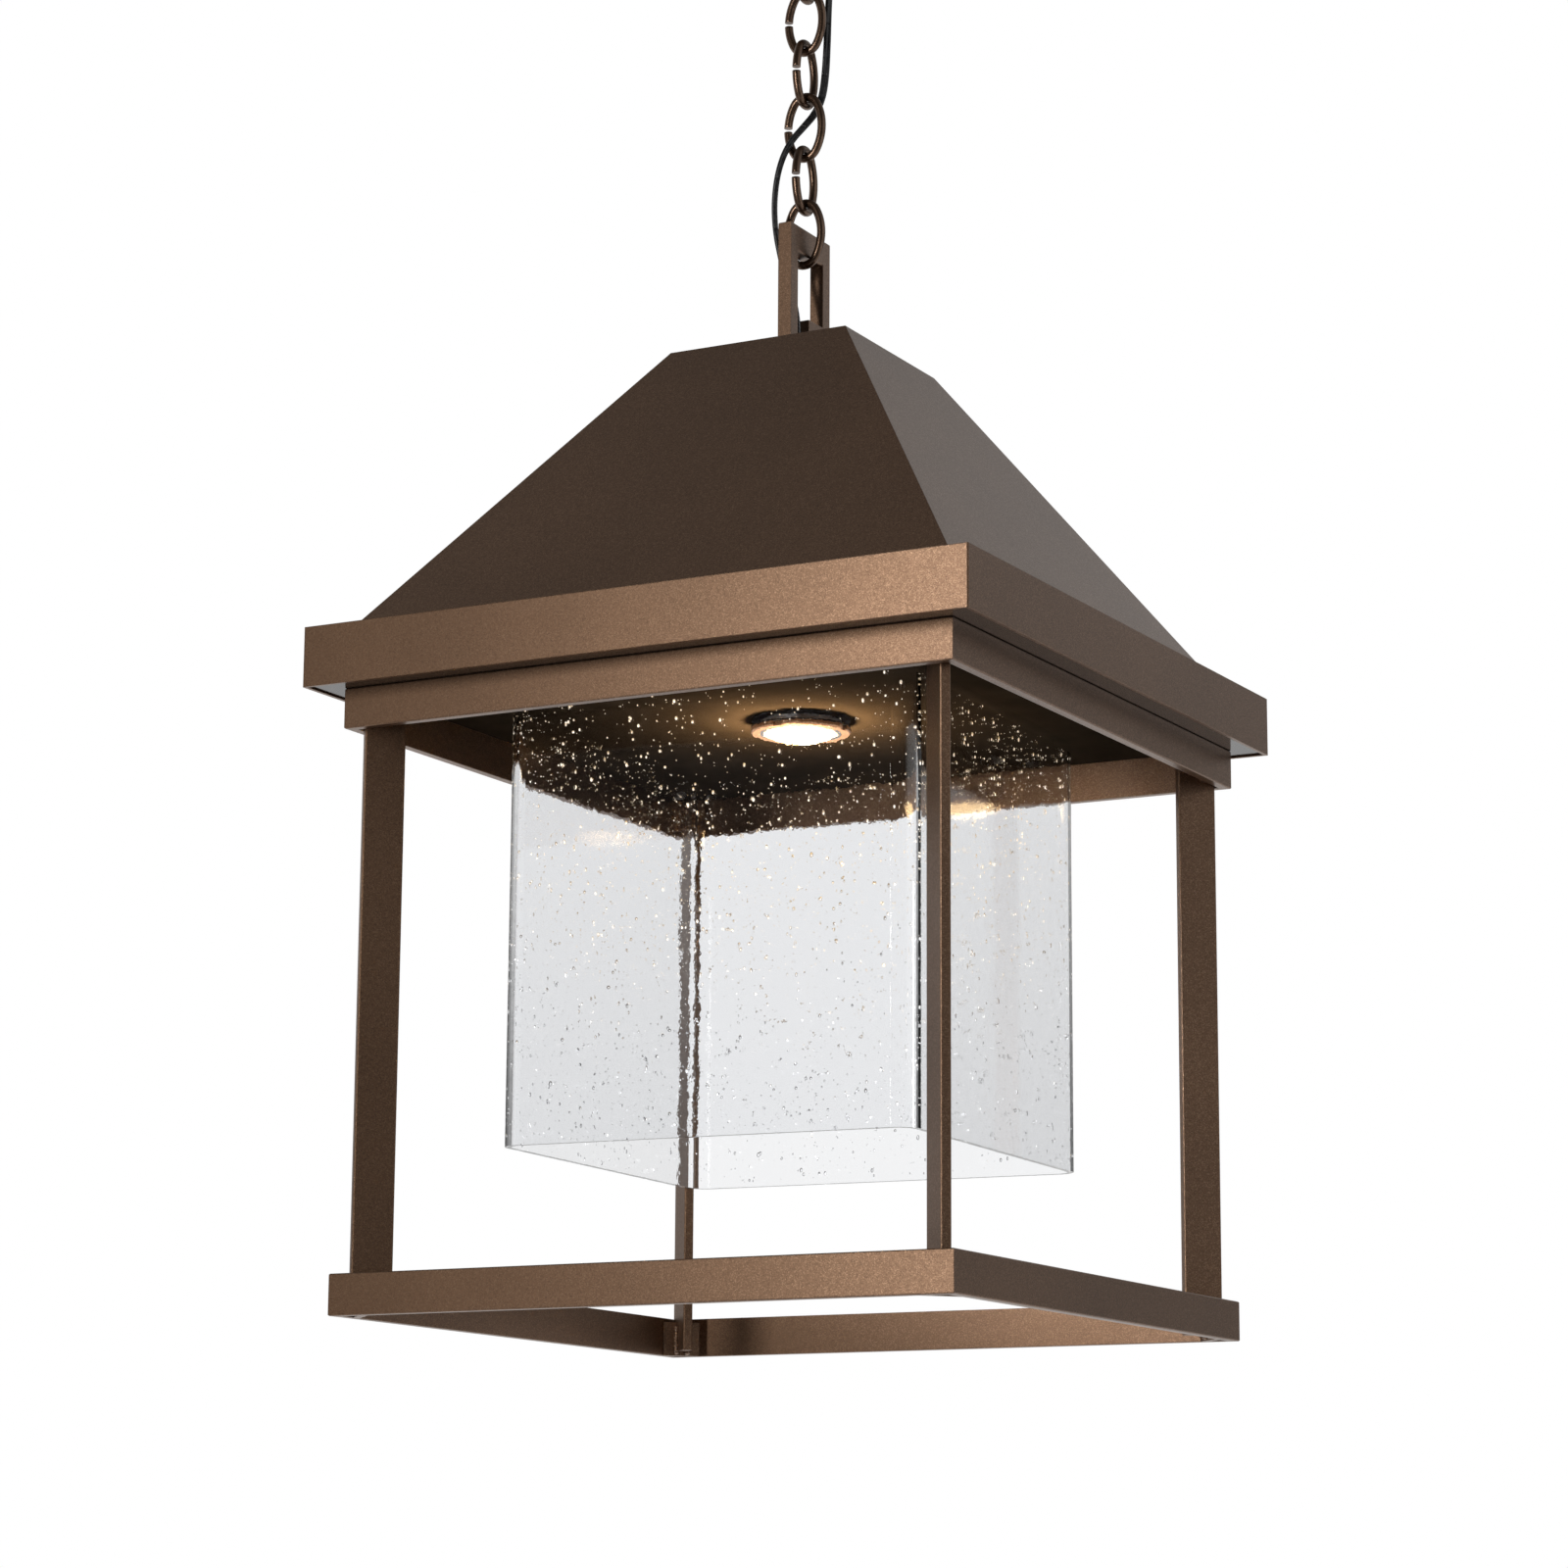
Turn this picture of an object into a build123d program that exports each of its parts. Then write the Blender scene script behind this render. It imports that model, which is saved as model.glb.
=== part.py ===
"""Square hanging lantern: a hipped sheet roof over a seeded glass shade, hung by chain from a ceiling canopy.

The origin is on the ceiling at the middle of the canopy. +Z is up, and the lantern's sides run along X and Y.
"""

import os
from math import atan2, degrees, pi, radians, sqrt, tan

from build123d import *

os.makedirs("parts", exist_ok=True)

# Clearances
weld_gap = 0.1  # left at each face of a welded or seated piece
thread_gap = 0.15  # radial room between a screw and its thread
hole_gap = 0.3  # radial room of a plain hole round what passes through it
bearing_gap = 0.25  # between two links where one bears on the other
edge_ease = 0.6  # chamfer along the edges of bar and plate
ring_ease = 1.0  # chamfer round the foot of a turned ring

# Ceiling canopy and the fitting inside it
canopy_d = 127.0
canopy_depth = 25.4
canopy_sheet = 1.5
canopy_round = 8.0
strap_length = 104.0
strap_width = 16.0
strap_round = 4.0
strap_thick = 2.5
box_spacing = 88.9  # between the slots for the outlet box's screws
slot_length = 9.0
slot_width = 4.8
nipple_d = 9.6
nipple_bore = 6.4
nipple_engaged = 8.0
nut_flats = 17.5
nut_thick = 5.0
stem_d = 16.0
stem_inside = 8.0  # stem above the canopy's lower face
stem_stub = 2.0  # stem below the collar nut
collar_nut_d = 27.0
collar_nut_height = 7.0
ring_radius = 14.0  # to the middle of the ring's wire
ring_wire = 6.35

# Chain of oval links, bent from round wire and left open at a seam
link_count = 6
link_length = 48.3
link_width = 30.5
link_wire = 5.56
link_end_radius = 9.5  # to the middle of the wire at the ends of a link
link_seam = 1.2

# Twin flex woven through the chain
cord_d = 5.0
cord_ease = 0.45  # share of the shorter run that each bend takes up
bushing_body_d = 9.0
bushing_flange_d = 12.0
bushing_flange = 1.6
bushing_tail = 3.0  # bushing past the far face of what it sits in
cord_points = [
    (19.0, 12.0, -16.0),
    (18.7, 11.9, -36.0),
    (16.4, 10.4, -59.0),
    (13.8, 8.7, -83.0),
    (12.7, 8.0, -107.0),
    (11.6, 8.7, -131.0),
    (10.2, 9.4, -150.0),
    (8.6, 8.2, -166.0),
    (5.4, 4.4, -178.0),
    (-0.5, -0.8, -188.0),
    (-6.6, -6.2, -198.0),
    (-11.4, -9.8, -210.0),
    (-14.2, -12.8, -226.0),
    (-14.4, -16.0, -246.0),
    (-12.6, -16.6, -267.0),
    (-9.2, -14.4, -286.0),
    (-4.4, -10.8, -302.0),
    (-0.9, -8.8, -317.0),
    (0.0, -8.4, -334.0),
    (0.0, -8.5, -351.0),
    (0.1, -8.5, -366.0),
]

# Hanging stirrup on the roof
stirrup_thick = 9.5
stirrup_width = 54.0
stirrup_leg = 9.5
stirrup_bar = 17.5  # height of the bar that hangs in the last link
stirrup_window = 42.5  # height of the window under that bar
stirrup_base = 30.0
bar_ease = 1.0  # chamfer where the bar lies in the link
cord_slot = 15.5  # width of the slot that lets the flex down to the roof
stirrup_screw_d = 5.0
stirrup_screw_grip = 12.0
stirrup_head_d = 9.0
stirrup_head = 4.0
backing_side = 84.0
backing_thick = 4.0
backing_round = 4.0

# Sheet roof and eave
eave_side = 457.2
fascia_height = 38.1
fascia_sheet = 2.5
fold_radius = 1.2
eave_ledge = 20.1  # from the fascia's face in to the foot of the roof
ledge_lap = 12.0  # ledge inside the foot of the roof
roof_rise = 200.0
roof_top_side = 127.0
roof_sheet = 1.5

# Soffit and the tabs in the eave's corners that hold it
soffit_thick = 3.0
soffit_recess = 1.0
soffit_reveal = 1.2  # open joint round the plate
tab_side = 64.0
tab_thick = 3.0
tab_screw_inset = 36.0  # from the fascia's inner face to a corner's screw line, inside the collar
tab_screw_step = 18.0  # from where two screw lines cross to a screw
screw_d = 4.0
screw_head_d = 7.5
screw_head = 2.4
screw_end = 2.0  # screw past the piece that it is threaded in

# Collar, posts and bottom frame, all of one flat bar
bar_width = 25.4
bar_thick = 6.35
collar_set = 19.05  # from the fascia's face in to the face of the collar and the bottom frame
open_height = 336.5  # from the collar down to the bottom frame
post_gap = 0.85  # along the diagonal, between the post and the bars that it points at
gusset_set = 9.0  # along the diagonal, from the post's outer edge to the gusset's inner face
gusset_thick = 4.8
gusset_drop = 2.5  # gusset short of the bar's edge on the open side
post_seat = 3.0  # gusset left under the foot of the post
collar_screw_grip = 9.0
collar_screw_set = 22.0  # from the edge of a corner tab to the nearest of the collar's screws

# Glass shade and the light engine that holds it up
shade_side = 276.0
shade_height = 281.0
shade_wall = 4.0
shade_corner = 14.0
shade_turn = 3.5  # the shade hangs a little turned on its ring
shade_set = (-2.0, -1.1)  # and a little off the lantern's axis
shade_play = 2.5  # radial room of the shade's hole round the neck
gasket = 1.0
neck_d = 52.0
ring_width = 6.0
shade_ring_height = 3.0
ring_notches = 4
notch_width = 6.0
notch_depth = 2.0
neck_wall = 2.5
lens_edge = 2.5
lens_crown = 6.0
lens_lip = 2.0  # shoulder that the lens sits on
cup_depth = 9.0
board_thick = 1.6
chip_d = 24.0
chip_thick = 0.8
sink_d = 92.0
sink_base = 4.0
sink_hub_d = 34.0
fin_count = 14
fin_thick = 2.0
fin_height = 22.0

# Driver on a bridge over the heat sink
driver_length = 80.0
driver_width = 38.0
driver_height = 26.0
driver_round = 3.0
driver_ear = 10.0
ear_width = 16.0
ear_thick = 2.0
bridge_room = 10.0  # air between the heat sink's fins and the bridge
bridge_side_room = 2.0  # between the heat sink or the driver's ears and the bridge's legs
bridge_sheet = 2.0
bridge_width = 44.0
bridge_foot = 16.0
stud_length = 8.0
stud_spacing = 28.0
stud_nut_flats = 7.0
stud_nut = 3.2

# Heights, worked out from the ceiling down
canopy_floor_z = -canopy_depth
collar_nut_low_z = canopy_floor_z - collar_nut_height
stem_low_z = collar_nut_low_z - stem_stub
ring_middle_z = stem_low_z - ring_radius
ring_low_z = ring_middle_z - ring_radius
link_reach = (link_length - link_wire) / 2
link_half = (link_width - link_wire) / 2
first_link_z = ring_low_z + (ring_wire + link_wire) / 2 + bearing_gap - link_reach
link_pitch = 2 * link_reach - link_wire - bearing_gap
last_bend_z = first_link_z - (link_count - 1) * link_pitch - link_reach

# The bar's chamfered corners, not its middle, come nearest to the bend that it lies in.
bend_inside = link_end_radius - link_wire / 2
bar_flat = stirrup_thick / 2 - bar_ease
rise_at_flat = bend_inside - sqrt(bend_inside**2 - bar_flat**2)
rise_at_side = bend_inside - sqrt(bend_inside**2 - (stirrup_thick / 2) ** 2) - bar_ease
bar_under_z = last_bend_z + link_wire / 2 + max(rise_at_flat, rise_at_side) + bearing_gap
window_low_z = bar_under_z - stirrup_window
roof_top_z = window_low_z - stirrup_base
eave_top_z = roof_top_z - roof_rise
eave_low_z = eave_top_z - fascia_height
soffit_under_z = eave_low_z + soffit_recess
soffit_top_z = soffit_under_z + soffit_thick
collar_low_z = soffit_under_z - bar_width
frame_top_z = collar_low_z - open_height
frame_low_z = frame_top_z - bar_width
shade_top_z = soffit_under_z - gasket
ring_top_z = shade_top_z - shade_wall - gasket
neck_low_z = ring_top_z - shade_ring_height

# Plan sizes that several pieces share
window_width = stirrup_width - 2 * stirrup_leg
cord_inlet = (0.0, cord_points[-2][1])
cord_outlet = cord_points[0][:2]
fascia_inside = eave_side / 2 - fascia_sheet
tab_middle = fascia_inside - weld_gap - tab_side / 2
tab_screw_at = fascia_inside - tab_screw_inset
collar_screw_at = tab_middle - tab_side / 2 - collar_screw_set
square_side = eave_side - 2 * collar_set
square_inside = square_side - 2 * bar_thick
diagonal = square_side / sqrt(2)
corner_depth = bar_thick * sqrt(2)
post_start = corner_depth + bar_thick / 2 + post_gap
gusset_face = post_start + gusset_set
corner_angles = {"front_right": -45, "rear_right": 45, "rear_left": 135, "front_left": 225}
stirrup_screw_y = (
    -(stirrup_width - stirrup_leg) / 2,
    (stirrup_width / 2 + cord_slot - window_width / 2) / 2,
)
shade_ring_d = neck_d + 2 * ring_width
lens_d = neck_d - 2 * neck_wall
cup_d = lens_d - 2 * lens_lip
fin_reach = sink_d / 2 - fin_thick
bridge_inside = max(sink_d / 2, driver_length / 2 + driver_ear) + bridge_side_room
foot_middle = bridge_inside + bridge_sheet + bridge_foot / 2
bridge_height = sink_base + fin_height + bridge_room + bridge_sheet
bridge_top_z = soffit_top_z + bridge_height
driver_screw_at = (driver_length + driver_ear) / 2
driver_screw_places = [(-driver_screw_at, 0), (driver_screw_at, 0)]


def save(piece, name):
    """Labels a finished piece and writes its file."""
    piece.label = name
    export_step(piece, f"parts/{name}.step")


# Canopy: a spun dish, holed for the loop's stem and for the flex
with BuildPart() as ceiling_canopy:
    Cylinder(canopy_d / 2, canopy_depth, align=(Align.CENTER, Align.CENTER, Align.MAX))
    fillet(ceiling_canopy.edges().sort_by(Axis.Z)[0], canopy_round)
    offset(amount=-canopy_sheet, openings=ceiling_canopy.faces().sort_by(Axis.Z)[-1])
    with BuildSketch(Plane.XY.offset(canopy_floor_z)):
        Circle(stem_d / 2 + hole_gap)
        with Locations(cord_outlet):
            Circle(bushing_body_d / 2 + weld_gap)
    extrude(amount=canopy_depth, mode=Mode.SUBTRACT)
save(ceiling_canopy.part, "ceiling_canopy")

# Mounting strap: flat bar with a slot at each end for the outlet box's screws
with BuildPart() as mounting_strap:
    with BuildSketch():
        RectangleRounded(strap_length, strap_width, strap_round)
        with GridLocations(box_spacing, 0, 2, 1):
            SlotOverall(slot_length, slot_width, mode=Mode.SUBTRACT)
        Circle(nipple_d / 2 + thread_gap, mode=Mode.SUBTRACT)
    extrude(amount=-strap_thick)
save(mounting_strap.part, "mounting_strap")

# Nipple: threaded tube from the strap down into the loop's stem
nipple_low_z = canopy_floor_z + stem_inside - nipple_engaged
with BuildPart() as strap_nipple:
    with BuildSketch():
        Circle(nipple_d / 2)
        Circle(nipple_bore / 2, mode=Mode.SUBTRACT)
    extrude(amount=nipple_low_z)
save(strap_nipple.part, "strap_nipple")

# Lock nut under the strap
with BuildPart() as strap_nut:
    with BuildSketch(Plane.XY.offset(-strap_thick)):
        RegularPolygon(nut_flats / 2, 6, major_radius=False)
        Circle(nipple_d / 2 + thread_gap, mode=Mode.SUBTRACT)
    extrude(amount=-nut_thick)
save(strap_nut.part, "strap_nut")

# Loop: a threaded stem with a round ring for the first link
with BuildPart() as canopy_loop:
    with BuildSketch(Plane.XY.offset(stem_low_z)):
        Circle(stem_d / 2)
    extrude(amount=canopy_floor_z + stem_inside - stem_low_z)
    chamfer(canopy_loop.edges().sort_by(Axis.Z)[0], edge_ease)
    with BuildSketch(Plane.XY.offset(canopy_floor_z + stem_inside)):
        Circle(nipple_d / 2 + thread_gap)
    extrude(amount=-nipple_engaged - hole_gap, mode=Mode.SUBTRACT)
    with Locations(Location((0, 0, ring_middle_z), (90, 0, 0))):
        Torus(ring_radius, ring_wire / 2)
save(canopy_loop.part, "canopy_loop")

# Collar nut: holds the canopy up against the ceiling
with BuildPart() as canopy_collar_nut:
    with BuildSketch(Plane.XY.offset(canopy_floor_z)):
        Circle(collar_nut_d / 2)
        Circle(stem_d / 2 + thread_gap, mode=Mode.SUBTRACT)
    extrude(amount=-collar_nut_height)
    chamfer(canopy_collar_nut.faces().sort_by(Axis.Z)[0].outer_wire().edges(), ring_ease)
save(canopy_collar_nut.part, "canopy_collar_nut")


def cord_bushing(at, face_z, outward, depth):
    """Flanged bushing for the flex, its flange on the face at face_z and its body through depth of metal."""
    with BuildPart() as bushing:
        with BuildSketch(Plane((*at, face_z))):
            Circle(bushing_flange_d / 2)
            Circle(cord_d / 2 + hole_gap, mode=Mode.SUBTRACT)
        extrude(amount=outward * bushing_flange)
        with BuildSketch(Plane((*at, face_z))):
            Circle(bushing_body_d / 2)
            Circle(cord_d / 2 + hole_gap, mode=Mode.SUBTRACT)
        extrude(amount=-outward * (depth + bushing_tail))
    return bushing.part


save(cord_bushing(cord_outlet, canopy_floor_z, -1, canopy_sheet), "canopy_bushing")
save(cord_bushing(cord_inlet, roof_top_z, 1, roof_sheet + backing_thick), "roof_bushing")


# Chain: each link is one wire bent to four arcs, with an open seam on its left side
side_radius = (link_half**2 + (link_reach - link_end_radius) ** 2 - link_end_radius**2) / (
    2 * (link_half - link_end_radius)
)
end_middle = link_reach - link_end_radius
side_middle = side_radius - link_half
side_angle = degrees(atan2(end_middle, side_middle))
seam_angle = degrees(link_seam / 2 / side_radius)
end_sweep = 180 - 2 * side_angle


def chain_link(middle_z, across):
    """One open-seam link in the upright plane that holds the direction across."""
    upright = Plane((0, 0, middle_z), x_dir=across, z_dir=Vector(across).cross(Vector(0, 0, 1)))
    with BuildPart() as link:
        with BuildLine(upright) as wire:
            CenterArc((side_middle, 0), side_radius, 180 - seam_angle, seam_angle - side_angle)
            CenterArc((0, end_middle), link_end_radius, 180 - side_angle, -end_sweep)
            CenterArc((-side_middle, 0), side_radius, side_angle, -2 * side_angle)
            CenterArc((0, -end_middle), link_end_radius, -side_angle, -end_sweep)
            CenterArc((side_middle, 0), side_radius, 180 + side_angle, seam_angle - side_angle)
        with BuildSketch(Plane(wire.line @ 0, z_dir=wire.line % 0)):
            Circle(link_wire / 2)
        sweep()
    return link.part


for number in range(1, link_count + 1):
    direction = (0, 1, 0) if number % 2 else (1, 0, 0)
    link = chain_link(first_link_z - (number - 1) * link_pitch, direction)
    save(link, f"chain_link_{number}")

# Flex: straight runs joined by arcs as large as the runs allow
cord_radii = []
for before, here, after in zip(cord_points, cord_points[1:], cord_points[2:]):
    run_in = Vector(here) - Vector(before)
    run_out = Vector(after) - Vector(here)
    half_turn = radians(run_in.get_angle(run_out) / 2)
    cord_radii.append(cord_ease * min(run_in.length, run_out.length) / tan(half_turn))
with BuildPart() as supply_cord:
    with BuildLine() as route:
        FilletPolyline(*cord_points, radius=cord_radii)
    with BuildSketch(Plane(route.line @ 0, z_dir=route.line % 0)):
        Circle(cord_d / 2)
    sweep()
save(supply_cord.part, "supply_cord")
print("flex radii:", [round(radius) for radius in cord_radii])
cord_length = route.wire().length
print("flex length:", round(cord_length, 1))
cord_fill = supply_cord.part.volume / (cord_length * pi * cord_d**2 / 4)
print("flex volume over section times length:", round(cord_fill, 6))

# Stirrup: plate with a window for the last link and a slot for the flex
with BuildPart() as stirrup:
    with BuildSketch(Plane.YZ):
        with Locations((0, roof_top_z)):
            Rectangle(
                stirrup_width,
                bar_under_z + stirrup_bar - roof_top_z,
                align=(Align.CENTER, Align.MIN),
            )
        with Locations((0, window_low_z)):
            Rectangle(window_width, stirrup_window, align=(Align.CENTER, Align.MIN), mode=Mode.SUBTRACT)
        with Locations((-window_width / 2, roof_top_z)):
            Rectangle(cord_slot, stirrup_base, align=(Align.MIN, Align.MIN), mode=Mode.SUBTRACT)
    extrude(amount=stirrup_thick / 2, both=True)
    chamfer(stirrup.edges().filter_by(Axis.Y).group_by(Axis.Z)[-2], bar_ease)
    chamfer(stirrup.edges().filter_by(Axis.Y).group_by(Axis.Z)[-1], edge_ease)
    with BuildSketch(Plane.XY.offset(roof_top_z)):
        with Locations([(0, y) for y in stirrup_screw_y]):
            Circle(stirrup_screw_d / 2 + thread_gap)
    extrude(amount=stirrup_screw_grip + screw_end, mode=Mode.SUBTRACT)
save(stirrup.part, "stirrup")

# Roof: four slopes and a flat top folded from sheet, holed for the stirrup's screws and the flex
roof_foot = eave_side - 2 * eave_ledge
roof_lean = degrees(atan2((roof_foot - roof_top_side) / 2, roof_rise))
with BuildPart() as roof_shell:
    with BuildSketch(Plane.XY.offset(eave_top_z)):
        Rectangle(roof_foot, roof_foot)
    extrude(amount=roof_rise, taper=roof_lean)
    offset(amount=-roof_sheet, openings=roof_shell.faces().sort_by(Axis.Z)[0])
    with BuildSketch(Plane.XY.offset(roof_top_z)):
        with Locations([(0, y) for y in stirrup_screw_y]):
            Circle(stirrup_screw_d / 2 + hole_gap)
        with Locations(cord_inlet):
            Circle(bushing_body_d / 2 + weld_gap)
    extrude(amount=-roof_sheet, mode=Mode.SUBTRACT)
save(roof_shell.part, "roof_shell")

# Backing plate inside the top of the roof
backing_top_z = roof_top_z - roof_sheet
with BuildPart() as stirrup_backing:
    with BuildSketch(Plane.XY.offset(backing_top_z)):
        RectangleRounded(backing_side, backing_side, backing_round)
        with Locations([(0, y) for y in stirrup_screw_y]):
            Circle(stirrup_screw_d / 2 + hole_gap, mode=Mode.SUBTRACT)
        with Locations(cord_inlet):
            Circle(bushing_body_d / 2 + weld_gap, mode=Mode.SUBTRACT)
    extrude(amount=-backing_thick)
save(stirrup_backing.part, "stirrup_backing")


def screws(places, seat_z, up, shank_d, shank_length, head_d, head):
    """A screw at each place, its head on the face at seat_z and its shank running up (1) or down (-1)."""
    with BuildPart() as group:
        with BuildSketch(Plane.XY.offset(seat_z)):
            with Locations(places):
                Circle(head_d / 2)
        extrude(amount=-up * head)
        with BuildSketch(Plane.XY.offset(seat_z)):
            with Locations(places):
                Circle(shank_d / 2)
        extrude(amount=up * shank_length)
    return group.part


stirrup_screws = screws(
    [(0, y) for y in stirrup_screw_y],
    backing_top_z - backing_thick,
    1,
    stirrup_screw_d,
    backing_thick + roof_sheet + stirrup_screw_grip,
    stirrup_head_d,
    stirrup_head,
)
save(stirrup_screws, "stirrup_screws")

# Eave tray: the fascia and the ledge that the roof stands on, folded from one sheet
with BuildPart() as eave_tray:
    with BuildSketch(Plane.XY.offset(eave_top_z)):
        RectangleRounded(eave_side, eave_side, fold_radius)
    extrude(amount=-fascia_height)
    with BuildSketch(Plane.XY.offset(eave_top_z - fascia_sheet)):
        Rectangle(2 * fascia_inside, 2 * fascia_inside)
    extrude(amount=-fascia_height, mode=Mode.SUBTRACT)
    with BuildSketch(Plane.XY.offset(eave_top_z)):
        Rectangle(roof_foot - 2 * ledge_lap, roof_foot - 2 * ledge_lap)
    extrude(amount=-fascia_sheet, mode=Mode.SUBTRACT)
save(eave_tray.part, "eave_tray")

# Tabs welded into the eave's corners, tapped for the soffit's screws
soffit_screw_places = [
    (side_x * x, side_y * y)
    for side_x in (-1, 1)
    for side_y in (-1, 1)
    for x, y in ((tab_screw_at, tab_screw_at - tab_screw_step), (tab_screw_at - tab_screw_step, tab_screw_at))
]
with BuildPart() as eave_tabs:
    with BuildSketch(Plane.XY.offset(soffit_top_z)):
        with GridLocations(2 * tab_middle, 2 * tab_middle, 2, 2):
            Rectangle(tab_side, tab_side)
        with Locations(soffit_screw_places):
            Circle(screw_d / 2 + thread_gap, mode=Mode.SUBTRACT)
    extrude(amount=tab_thick)
save(eave_tabs.part, "eave_tabs")

# Soffit: one flat plate, holed for the neck and the screws, with studs for the driver's bridge
collar_screw_row = (square_side - bar_thick) / 2
collar_screw_places = [
    place
    for along in (-collar_screw_at, collar_screw_at)
    for across in (-collar_screw_row, collar_screw_row)
    for place in ((along, across), (across, along))
]
soffit_side = 2 * (fascia_inside - soffit_reveal)
with BuildPart() as soffit_plate:
    with BuildSketch(Plane.XY.offset(soffit_under_z)):
        Rectangle(soffit_side, soffit_side)
        Circle(neck_d / 2 + hole_gap, mode=Mode.SUBTRACT)
        with Locations(soffit_screw_places + collar_screw_places):
            Circle(screw_d / 2 + hole_gap, mode=Mode.SUBTRACT)
    extrude(amount=soffit_thick)
    with BuildSketch(Plane.XY.offset(soffit_top_z)):
        with GridLocations(2 * foot_middle, stud_spacing, 2, 2):
            Circle(screw_d / 2)
    extrude(amount=stud_length)
save(soffit_plate.part, "soffit_plate")

soffit_screw_length = soffit_thick + tab_thick + screw_end
soffit_screws = screws(
    soffit_screw_places, soffit_under_z, 1, screw_d, soffit_screw_length, screw_head_d, screw_head
)
save(soffit_screws, "soffit_screws")


def square_ring(low_z, tapped):
    """Four lengths of flat bar on edge, welded at the corners and tapped from above at the places given."""
    with BuildPart() as ring:
        with BuildSketch(Plane.XY.offset(low_z)):
            Rectangle(square_side, square_side)
            Rectangle(square_inside, square_inside, mode=Mode.SUBTRACT)
        extrude(amount=bar_width)
        chamfer(ring.faces().sort_by(Axis.Z)[0].outer_wire().edges(), edge_ease)
        chamfer(ring.faces().sort_by(Axis.Z)[-1].outer_wire().edges(), edge_ease)
        if tapped:
            with BuildSketch(Plane.XY.offset(low_z + bar_width)):
                with Locations(tapped):
                    Circle(screw_d / 2 + thread_gap)
            extrude(amount=-collar_screw_grip - screw_end, mode=Mode.SUBTRACT)
    return ring.part


# Collar: ring of bar hung from the soffit by screws through it from above
save(square_ring(collar_low_z, collar_screw_places), "collar")

collar_screws = screws(
    collar_screw_places, soffit_top_z, -1, screw_d, soffit_thick + collar_screw_grip, screw_head_d, screw_head
)
save(collar_screws, "collar_screws")

# Bottom frame: the same ring again, hung from the collar by the posts
save(square_ring(frame_low_z, []), "bottom_frame")

# Posts: bar on edge along each diagonal, from the seat in the lower gusset to the one in the upper
post_low_z = frame_low_z + post_seat
post_top_z = soffit_under_z - post_seat
for corner, angle in corner_angles.items():
    with BuildPart() as post:
        with BuildSketch(Plane.XY.offset(post_low_z)):
            with PolarLocations(diagonal - post_start - bar_width / 2, 1, start_angle=angle):
                Rectangle(bar_width, bar_thick)
        extrude(amount=post_top_z - post_low_z)
        chamfer(post.edges().filter_by(Axis.Z), edge_ease)
    save(post.part, f"post_{corner}")


def gussets(low_z, top_z, notch_low_z, notch_top_z):
    """A plate across the inside of each corner, bevelled onto the bars and notched for the post."""
    near = gusset_face - gusset_thick
    outline = [
        (diagonal - near, near - corner_depth - weld_gap),
        (diagonal - gusset_face, gusset_face - corner_depth - weld_gap),
        (diagonal - gusset_face, corner_depth + weld_gap - gusset_face),
        (diagonal - near, corner_depth + weld_gap - near),
    ]
    with BuildPart() as plates:
        with BuildSketch(Plane.XY.offset(low_z)):
            with PolarLocations(0, 4, start_angle=45):
                Polygon(*outline, align=None)
        extrude(amount=top_z - low_z)
        with BuildSketch(Plane.XY.offset(notch_low_z)):
            with PolarLocations(diagonal - gusset_face + gusset_thick / 2, 4, start_angle=45):
                Rectangle(2 * gusset_thick, bar_thick + 2 * weld_gap)
        extrude(amount=notch_top_z - notch_low_z, mode=Mode.SUBTRACT)
    return plates.part


frame_gusset_top_z = frame_top_z - gusset_drop
collar_gusset_low_z = collar_low_z + gusset_drop
frame_gussets = gussets(frame_low_z, frame_gusset_top_z, post_low_z, frame_gusset_top_z)
save(frame_gussets, "frame_gussets")
collar_gussets = gussets(collar_gusset_low_z, soffit_under_z, collar_gusset_low_z, post_top_z)
save(collar_gussets, "collar_gussets")

# Shade: a square glass box with round corners, open below, hung by the hole in its top
with BuildPart() as glass_shade:
    with BuildSketch(Plane((*shade_set, shade_top_z)).rotated((0, 0, shade_turn))):
        RectangleRounded(shade_side, shade_side, shade_corner)
    extrude(amount=-shade_height)
    offset(amount=-shade_wall, openings=glass_shade.faces().sort_by(Axis.Z)[0])
    with BuildSketch(Plane((*shade_set, shade_top_z))):
        Circle(neck_d / 2 + shade_play)
    extrude(amount=-shade_wall, mode=Mode.SUBTRACT)
save(glass_shade.part, "glass_shade")


def gasket_ring(top_z):
    """Flat washer of soft sheet between the glass and the metal."""
    with BuildPart() as washer:
        with BuildSketch(Plane.XY.offset(top_z)):
            Circle(shade_ring_d / 2)
            Circle(neck_d / 2 + hole_gap, mode=Mode.SUBTRACT)
        extrude(amount=-gasket)
    return washer.part


save(gasket_ring(soffit_under_z), "upper_gasket")
save(gasket_ring(shade_top_z - shade_wall), "lower_gasket")

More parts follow.
